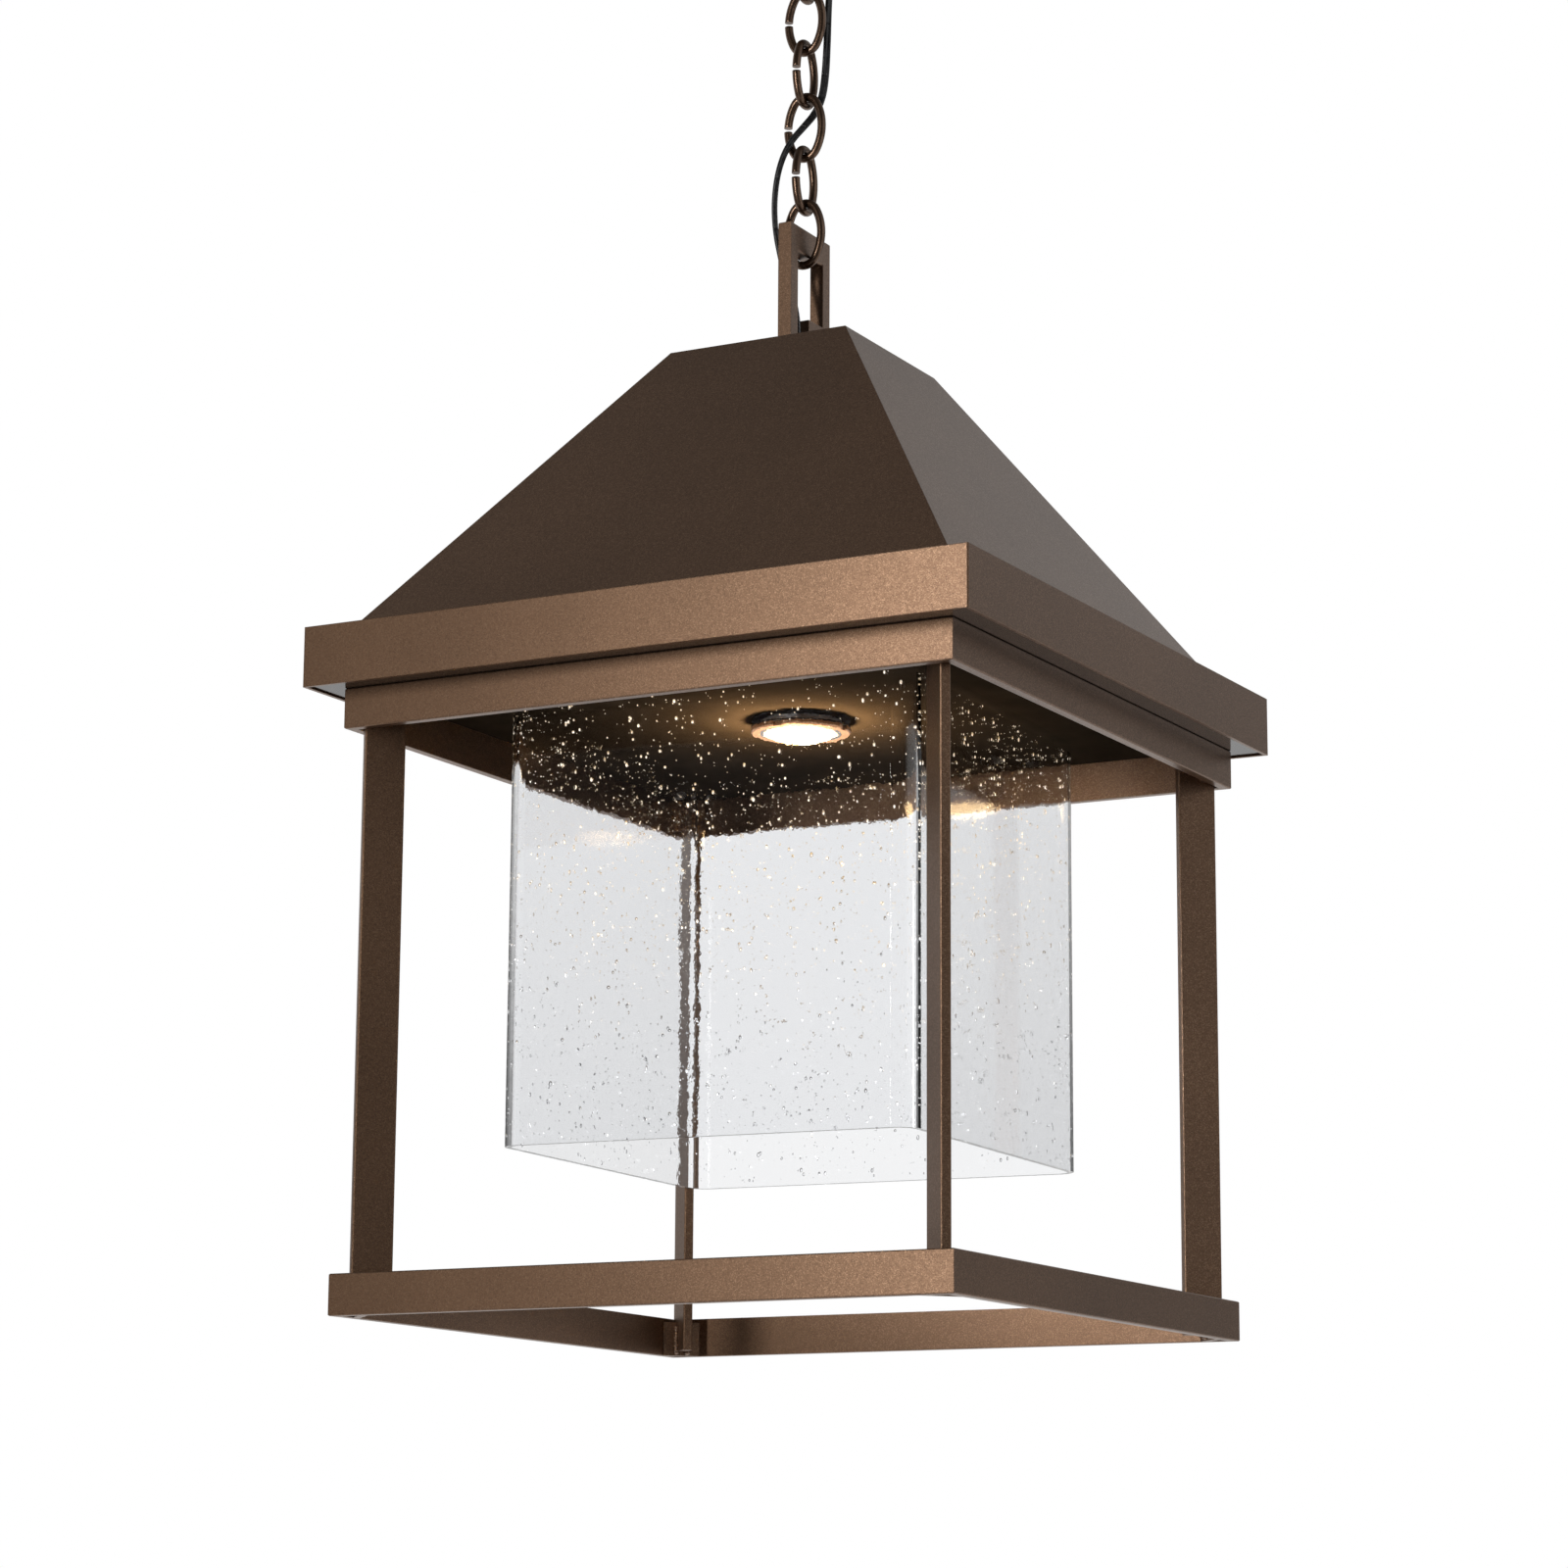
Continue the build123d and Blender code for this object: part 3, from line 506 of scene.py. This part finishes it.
dress(soffit_coat, "soffit_plate")
dress(bronze, "eave_tabs")
dress(zinc, "soffit_screws", "collar_screws")


# Collar, posts and bottom frame
# One size of flat bar: a square ring on edge under the soffit, a like ring below, and a bar on each
# diagonal between them, let into notched corner gussets and welded there.
dress(bronze, "collar", "bottom_frame", "collar_gussets", "frame_gussets")
dress(bronze, *[f"post_{corner}" for corner in ("front_right", "rear_right", "rear_left", "front_left")])

# Weld beads run up both faces of each post, where it leaves its gussets.
bead_radius = 0.0021
bead_step = 0.0019
bead_sizes = (0.85, 1.1)
bead_sink = 0.2 * bead_radius
bead_wander = 0.0003
bead_flat = 0.75
bead_segments = 8
bead_rings = 6
bar_thick = 0.00635
diagonal = Vector((math.sqrt(0.5), math.sqrt(0.5)))
bead_draw = random.Random(11)
beads = bmesh.new()
gusset_groups = {"collar_gussets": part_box("collar_gussets"), "frame_gussets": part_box("frame_gussets")}
for group, (low, high) in gusset_groups.items():
    inner = min(
        vertex.co.xy.dot(diagonal)
        for vertex in nodes[group].data.vertices
        if vertex.co.x > 0 and vertex.co.y > 0
    )
    count = int((high.z - low.z - 2 * bead_radius) / bead_step)
    for quarter in range(4):
        turn = Matrix.Rotation(math.radians(45 + 90 * quarter), 4, "Z")
        for hand in (-1, 1):
            for number in range(count + 1):
                out = inner - bead_sink + bead_draw.uniform(-bead_wander, bead_wander)
                beside = hand * (bar_thick / 2 + bead_sink + bead_draw.uniform(0.0, bead_wander))
                up = low.z + bead_radius + number * bead_step
                size = bead_radius * bead_draw.uniform(*bead_sizes)
                spot = turn @ Matrix.Translation((out, beside, up))
                shape = spot @ Matrix.Diagonal((size, size, bead_flat * size, 1.0))
                bmesh.ops.create_uvsphere(
                    beads, u_segments=bead_segments, v_segments=bead_rings, radius=1.0, matrix=shape
                )
for face in beads.faces:
    face.smooth = True
weld_beads = mesh_object("weld_beads", beads, [bronze_coat("weld_coat", 1.0, 0.04, 1.0, 0.10)])
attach(weld_beads, "lantern")


# Light engine
# Finned aluminium casting whose threaded neck passes down through the soffit and the shade. Its cup holds a
# white light board behind a lit frosted lens, and a notched ring on its thread clamps the glass.
cast_light = (0.66, 0.66, 0.67)
cast_dull = (0.48, 0.48, 0.49)
casting = mottled(
    "cast_aluminium",
    [(0.35, cast_dull), (0.65, cast_light)],
    {"Scale": 600.0, "Detail": 4.0, "Smoothest": 0.42, "Roughest": 0.58, "Bump": 0.25, "Height": 0.0004},
    metallic=1.0,
)
dress(casting, "heat_sink")
# The shade ring's coat is 2.4 times lighter: partly a paler finish, partly painted glow from the lens.
dress(bronze_coat("ring_coat", 2.4, 0.06, 0.3), "shade_ring")


def from_axis(tree, place):
    """The distance of a place from the lantern's upright axis."""
    flat = node(tree, "VectorMath", {0: place, 1: (1.0, 1.0, 0.0)}, operation="MULTIPLY").outputs["Vector"]
    return node(tree, "VectorMath", {0: flat}, operation="LENGTH").outputs["Value"]


board_white = (0.80, 0.80, 0.77)
board_trace = (0.66, 0.67, 0.62)
phosphor = (0.85, 0.62, 0.10)
chip_radius = 0.012
chip_edge = 0.0003
board, tree, shader = new_material("light_board")
place = node(tree, "TexCoord").outputs["Object"]
fields = {"Color1": (*board_white, 1.0), "Color2": (*board_white, 1.0), "Mortar": (*board_trace, 1.0)}
traces = node(tree, "TexBrick", {"Vector": place, "Scale": 120.0, **fields})
on_board = spread(tree, from_axis(tree, place), chip_radius, chip_radius + chip_edge, 0.0, 1.0)
chip = node(tree, "Mix", {"Factor": on_board}, data_type="RGBA")
chip.inputs["A"].default_value = (*phosphor, 1.0)
tree.links.new(traces.outputs["Color"], chip.inputs["B"])
tree.links.new(chip.outputs["Result"], shader.inputs["Base Color"])
shader.inputs["Roughness"].default_value = 0.4
dress(board, "led_board")

lens_frost = (0.95, 0.90, 0.80)
lens_bright = (1.0, 0.74, 0.36)
lens_edge = (0.85, 0.50, 0.18)
lens_radius = 0.0235
lens, tree, shader = new_material("frosted_lens")
place = node(tree, "TexCoord").outputs["Object"]
edge = spread(tree, from_axis(tree, place), 0.0, lens_radius, 0.0, 1.0)
tree.links.new(ramp(tree, edge, [(0.2, lens_bright), (1.0, lens_edge)]), shader.inputs["Emission Color"])
frost = {"Scale": 900.0, "Detail": 2.0, "Smoothest": 0.45, "Roughest": 0.65, "Bump": 0.2}
frosted = node(tree, "Group", frost, node_tree=mottle).outputs
tree.links.new(frosted["Roughness"], shader.inputs["Roughness"])
tree.links.new(frosted["Normal"], shader.inputs["Normal"])
shader.inputs["Base Color"].default_value = (*lens_frost, 1.0)
shader.inputs["Emission Strength"].default_value = 6.0
dress(lens, "led_lens")

# A small lamp below the lens stands for the light that the glass throws back on the soffit.
lens_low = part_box("led_lens")[0].z
glow_drop = 0.038
glow_data = bpy.data.lights.new("lens_glow", "SPOT")
glow_data.energy = 2.6
glow_data.color = (1.0, 0.72, 0.40)
glow_data.shadow_soft_size = 0.015
glow_data.spot_size = math.radians(160)
glow_data.spot_blend = 1.0
glow = bpy.data.objects.new("lens_glow", glow_data)
glow.location = (0.0, 0.0, lens_low - glow_drop)
glow.rotation_euler = (math.pi, 0.0, 0.0)
bpy.context.scene.collection.objects.link(glow)
glow.visible_camera = False
glow.visible_glossy = False
glow.visible_transmission = False
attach(glow, "lantern")


# Driver and its bridge
# Hat bent from zinc plated sheet and held by nuts on the soffit's studs, over the heat sink. The sealed
# driver is screwed on top of it, in a grained dark grey case.
case_black = (0.055, 0.055, 0.060)
case_grey = (0.085, 0.085, 0.090)
case = mottled(
    "driver_case",
    [(0.4, case_black), (0.6, case_grey)],
    {"Scale": 900.0, "Detail": 2.0, "Smoothest": 0.50, "Roughest": 0.65, "Bump": 0.3},
)
dress(case, "led_driver")
dress(zinc, "driver_bridge", "bridge_nuts", "driver_screws")


# Glass shade
# Square box of clear seeded glass with round corners, open below and hung by the hole in its top. The walls
# are a little wavy, with small air bubbles drawn out in them.
shade_wall = 0.004
shade_corner = 0.014
shade_turn = math.radians(3.5)
shade_low, shade_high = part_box("glass_shade")
shade_middle = (shade_low + shade_high) / 2
flat_top_z = shade_high.z - 1.5 * shade_wall
glass_tint = (0.965, 0.970, 0.980)
glass_wave = 0.00016


def seeded_glass(name, wave):
    """A glass with waves of that height, its tree and its shader. Its flat top is plainly clear."""
    made, tree, shader = new_material(name)
    place = node(tree, "TexCoord").outputs["Object"]
    swell = node(tree, "TexNoise", {"Vector": place, "Scale": 60.0, "Detail": 4.0}).outputs["Fac"]
    waved = node(tree, "Bump", {"Strength": 0.6, "Distance": wave, "Height": swell})
    tree.links.new(waved.outputs["Normal"], shader.inputs["Normal"])
    shader.inputs["Base Color"].default_value = (*glass_tint, 1.0)
    shader.inputs["Roughness"].default_value = 0.0
    shader.inputs["IOR"].default_value = 1.5
    shader.inputs["Transmission Weight"].default_value = 1.0
    clear = node(tree, "BsdfTransparent", {"Color": (*glass_tint, 1.0)})
    shadow = node(tree, "LightPath").outputs["Is Shadow Ray"]
    height = node(tree, "SeparateXYZ", {"Vector": place}).outputs["Z"]
    top = node(tree, "Math", {0: height, 1: flat_top_z}, operation="GREATER_THAN")
    unseen = node(tree, "Math", {0: shadow, 1: top.outputs["Value"]}, operation="MAXIMUM")
    both = node(tree, "MixShader", {"Fac": unseen.outputs["Value"]})
    tree.links.new(shader.outputs["BSDF"], both.inputs[1])
    tree.links.new(clear.outputs["BSDF"], both.inputs[2])
    tree.links.new(both.outputs["Shader"], tree.nodes["Material Output"].inputs["Surface"])
    return made, tree, shader


dress(seeded_glass("seeded_glass", glass_wave)[0], "glass_shade")

seed_count = 8000
seed_least = 0.00026
seed_more = 0.0008
seed_rarity = 5
seed_finer = 0.0007
seed_depth_most = 0.42 * shade_wall
seed_skin = 0.0001
seed_margin = 0.003
seed_widths = (0.8, 1.1)
seed_heights = (1.0, 1.7)
seed_draw = random.Random(23)
face_out = Vector((math.cos(shade_turn), math.sin(shade_turn), 0.0))
side_half = max((vertex.co - shade_middle).dot(face_out) for vertex in nodes["glass_shade"].data.vertices)
middle_half = side_half - shade_wall / 2
middle_corner = shade_corner - shade_wall / 2
straight = 2 * (middle_half - middle_corner)
bend = math.pi / 2 * middle_corner
wall_end_gap = 1e-6
wall_length = 4 * (straight + bend) - wall_end_gap


def on_wall(along):
    """The place and the direction out, at a length along the middle of the shade's wall."""
    quarter, rest = divmod(along, straight + bend)
    if rest < straight:
        spot, out = Vector((middle_half, rest - straight / 2, 0.0)), Vector((1.0, 0.0, 0.0))
    else:
        turn = (rest - straight) / middle_corner
        out = Vector((math.cos(turn), math.sin(turn), 0.0))
        spot = Vector((middle_half - middle_corner, straight / 2, 0.0)) + middle_corner * out
    turned = Matrix.Rotation(shade_turn + quarter * math.pi / 2, 3, "Z")
    return shade_middle + turned @ spot, turned @ out


balls = []
for detail in (1, 2):
    ball = bmesh.new()
    bmesh.ops.create_icosphere(ball, subdivisions=detail, radius=1.0)
    ball_faces = [[vertex.index for vertex in reversed(face.verts)] for face in ball.faces]
    balls.append(([vertex.co.copy() for vertex in ball.verts], ball_faces))
    ball.free()
corners = []
faces = []
for number in range(seed_count):
    spot, out = on_wall(seed_draw.uniform(0.0, wall_length))
    size = seed_least + seed_more * seed_draw.random() ** seed_rarity
    depth = min(size, seed_depth_most)
    room = shade_wall / 2 - depth - seed_skin
    spot = spot + seed_draw.uniform(-room, room) * out
    spot.z = seed_draw.uniform(shade_low.z + seed_margin, shade_high.z - seed_margin)
    wide = size * seed_draw.uniform(*seed_widths)
    tall = size * seed_draw.uniform(*seed_heights)
    facing = Matrix.Rotation(math.atan2(out.y, out.x), 4, "Z")
    shape = Matrix.Translation(spot) @ facing @ Matrix.Diagonal((depth, wide, tall, 1.0))
    ball_corners, ball_faces = balls[size > seed_finer]
    faces += [[len(corners) + corner for corner in face] for face in ball_faces]
    corners += [shape @ corner for corner in ball_corners]
seeds = bpy.data.meshes.new("glass_seeds")
seeds.from_pydata(corners, [], faces)
seeds.shade_smooth()

# Painted glints: the bubbles glow by emission, gold near the lens and grey to white away from it, standing
# in for the light they catch.
painted_glint_gold = (1.0, 0.80, 0.52)
painted_glint_amber = (0.45, 0.30, 0.14)
painted_glint_white = (0.70, 0.70, 0.71)
painted_glint_grey = (0.05, 0.05, 0.052)
painted_glint_near = 0.12
painted_glint_far = 0.24
seed_glass, tree, shader = seeded_glass("seed_glass", 0.0)
place = node(tree, "TexCoord").outputs["Object"]
from_lens = node(tree, "VectorMath", {0: place, 1: (0.0, 0.0, lens_low)}, operation="DISTANCE")
far = spread(tree, from_lens.outputs["Value"], painted_glint_near, painted_glint_far, 0.0, 1.0)
catch = node(tree, "TexVoronoi", {"Vector": place, "Scale": 250.0}).outputs["Color"]
catch = node(tree, "SeparateColor", {"Color": catch}).outputs["Red"]
glint = node(tree, "Mix", {"Factor": far}, data_type="RGBA")
tree.links.new(ramp(tree, catch, [(0.2, painted_glint_amber), (0.8, painted_glint_gold)]), glint.inputs["A"])
tree.links.new(ramp(tree, catch, [(0.5, painted_glint_grey), (0.9, painted_glint_white)]), glint.inputs["B"])
# This emission is painted light on the bubbles, not a lamp.
tree.links.new(glint.outputs["Result"], shader.inputs["Emission Color"])
shader.inputs["Emission Strength"].default_value = 0.9
seed_glass.cycles.emission_sampling = "NONE"
seeds.materials.append(seed_glass)
glass_seeds = bpy.data.objects.new("glass_seeds", seeds)
bpy.context.scene.collection.objects.link(glass_seeds)
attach(glass_seeds, "lantern")


# Floor
# Pale paper well below the lantern, which takes its shadow. It fades into the white backdrop far away, and
# the metal mirrors it dimmer towards the front.
floor_drop = 0.9
floor_half = 12.0
floor_near = 1.0
floor_far = 4.5
floor_glare = 0.72
mirror_front = -1.5
mirror_rear = 0.5
mirror_least = 0.10
mirror_most = 0.75
paper_grey = (0.84, 0.84, 0.85)
paper_white = (0.88, 0.88, 0.89)
white = (1.0, 1.0, 1.0)


def joined(tree, operation, first, second):
    """Two values joined by an operation."""
    return node(tree, "Math", {0: first, 1: second}, operation=operation).outputs["Value"]


def seen_and_mirrored(tree):
    """Whether a ray meets the stage straight or through glass, and whether it was mirrored on its way."""
    ray = node(tree, "LightPath").outputs
    through = joined(tree, "MAXIMUM", ray["Is Camera Ray"], ray["Is Transmission Ray"])
    either = joined(tree, "MAXIMUM", through, ray["Is Glossy Ray"])
    turned = joined(tree, "GREATER_THAN", ray["Glossy Depth"], 0.5)
    return joined(tree, "GREATER_THAN", either, turned), joined(tree, "MULTIPLY", either, turned)


floor_made = bmesh.new()
floor_place = Matrix.Translation((0.0, 0.0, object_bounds()[0].z - floor_drop))
bmesh.ops.create_grid(floor_made, x_segments=1, y_segments=1, size=floor_half, matrix=floor_place)
floor_paper, tree, shader = new_material("floor_paper")
place = node(tree, "TexCoord").outputs["Object"]
fibre = node(tree, "TexNoise", {"Vector": place, "Scale": 60.0, "Detail": 3.0}).outputs["Fac"]
paper = ramp(tree, fibre, [(0.3, paper_grey), (0.7, paper_white)])
away = from_axis(tree, place)
near = spread(tree, away, floor_near, floor_far, 1.0, 0.0)
faded = node(tree, "VectorMath", {"Vector": paper, "Scale": near}, operation="SCALE").outputs["Vector"]
tree.links.new(faded, shader.inputs["Base Color"])
shader.inputs["Specular IOR Level"].default_value = 0.0
shader.inputs["Roughness"].default_value = 0.9
shader.inputs["Emission Color"].default_value = (*white, 1.0)
seen, mirrored = seen_and_mirrored(tree)
glare = spread(tree, away, floor_near, floor_far, floor_glare, 1.0)
depth = node(tree, "SeparateXYZ", {"Vector": place}).outputs["Y"]
mirror = spread(tree, depth, mirror_front, mirror_rear, mirror_least, mirror_most)
direct = joined(tree, "MULTIPLY", seen, glare)
lit = joined(tree, "MAXIMUM", direct, joined(tree, "MULTIPLY", mirrored, mirror))
tree.links.new(lit, shader.inputs["Emission Strength"])
floor = mesh_object("floor", floor_made, [floor_paper])


# Backdrop
# A white studio all round. The metal mirrors it as grey walls that are dark near the floor and overhead,
# dimmer in front and brighter at the two sides.
walls_low = 0.485
wall_greys = [(0.51, 0.06), (0.56, 0.17), (0.61, 0.45), (0.72, 0.57), (0.80, 0.36), (0.92, 0.16)]
front_dim = -0.47
front_clear = -0.36
front_share = 0.10
side_start = 0.70
side_end = 0.92
side_gain = 1.75
fill_grey = (0.12, 0.12, 0.125)
world = bpy.data.worlds.new("studio")
bpy.context.scene.world = world
world.use_nodes = True
tree = world.node_tree
background = tree.nodes["Background"]
direction = node(tree, "TexCoord").outputs["Generated"]
direction = node(tree, "SeparateXYZ", {"Vector": direction}).outputs
height = spread(tree, direction["Z"], -1.0, 1.0, 0.0, 1.0)
walls = ramp(tree, height, [(walls_low, white), *[(level, (grey,) * 3) for level, grey in wall_greys]])
from_front = spread(tree, direction["Y"], front_dim, front_clear, front_share, 1.0)
sideways = node(tree, "Math", {0: direction["X"]}, operation="ABSOLUTE").outputs["Value"]
from_side = spread(tree, sideways, side_start, side_end, 1.0, side_gain)
share = joined(tree, "MULTIPLY", from_front, from_side)
backdrop = node(tree, "VectorMath", {"Vector": walls, "Scale": share}, operation="SCALE").outputs["Vector"]
seen, mirrored = seen_and_mirrored(tree)
glossy = node(tree, "Mix", {"Factor": mirrored}, data_type="RGBA")
glossy.inputs["A"].default_value = (*fill_grey, 1.0)
tree.links.new(backdrop, glossy.inputs["B"])
shown = node(tree, "Mix", {"Factor": seen}, data_type="RGBA")
tree.links.new(glossy.outputs["Result"], shown.inputs["A"])
shown.inputs["B"].default_value = (*white, 1.0)
tree.links.new(shown.outputs["Result"], background.inputs["Color"])
background.inputs["Strength"].default_value = 1.0


# Front lamp
# One tall narrow soft lamp in front of the lantern, a little to its left. The front bars mirror it more
# strongly towards their right ends.
lantern_middle = Vector((0.0, 0.0, -0.70))
lamp_place = Vector((-0.40, -2.35, -0.35))
lamp_data = bpy.data.lights.new("front_lamp", "AREA")
lamp_data.shape = "RECTANGLE"
lamp_data.size = 0.16
lamp_data.size_y = 1.3
lamp_data.energy = 27.0
lamp_data.color = (1.0, 0.97, 0.93)
lamp = bpy.data.objects.new("front_lamp", lamp_data)
lamp.location = lamp_place
lamp.rotation_euler = (lantern_middle - lamp_place).to_track_quat("-Z", "Y").to_euler()
bpy.context.scene.collection.objects.link(lamp)


# Camera
# A long lens that looks up at the lantern from below its bottom frame, from the front and right.
camera_place = Vector((1.2297, -2.3075, -1.1630))
camera_yaw = math.radians(28.297)
camera_pitch = math.radians(11.516)
camera_roll = math.radians(0.364)
camera_data = bpy.data.cameras.new("camera")
camera_data.sensor_width = 36.0
camera_data.lens = 95.92
camera = bpy.data.objects.new("camera", camera_data)
turned = Matrix.Rotation(camera_yaw, 4, "Z")
raised = Matrix.Rotation(math.pi / 2 + camera_pitch, 4, "X")
rolled = Matrix.Rotation(camera_roll, 4, "Z")
camera.matrix_world = Matrix.Translation(camera_place) @ turned @ raised @ rolled
bpy.context.scene.collection.objects.link(camera)
bpy.context.scene.camera = camera
bpy.context.scene.view_settings.view_transform = "Standard"
